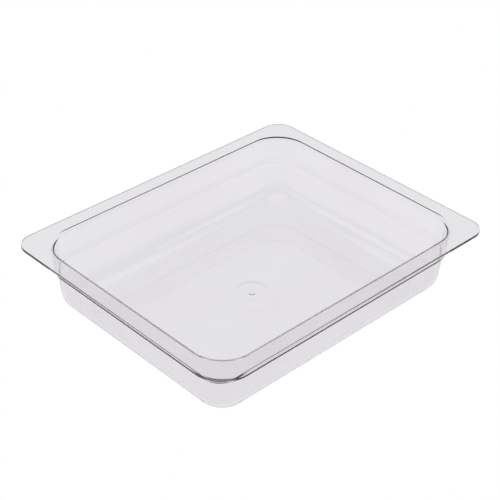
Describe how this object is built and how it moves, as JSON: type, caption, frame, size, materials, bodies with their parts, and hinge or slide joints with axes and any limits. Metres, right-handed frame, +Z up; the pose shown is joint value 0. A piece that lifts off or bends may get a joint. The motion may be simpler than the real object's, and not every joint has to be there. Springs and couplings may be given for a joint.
{
  "type": "food pan",
  "caption": "Clear half-size deli food pan: shallow rectangular pan with drafted walls, a stacking shoulder, rounded floor edges and a flat hanging rim.",
  "frame": {"origin": "middle of the flat underside, on the surface that the pan stands on", "axes": "+X along the long side, +Y along the short side, +Z up out of the mouth"},
  "size_m": [0.325, 0.265, 0.065],
  "materials": {
    "clear_polycarbonate": "clear, moulded gloss"
  },
  "bodies": {
    "root": {"pan": "clear_polycarbonate"}
  },
  "joints": []
}
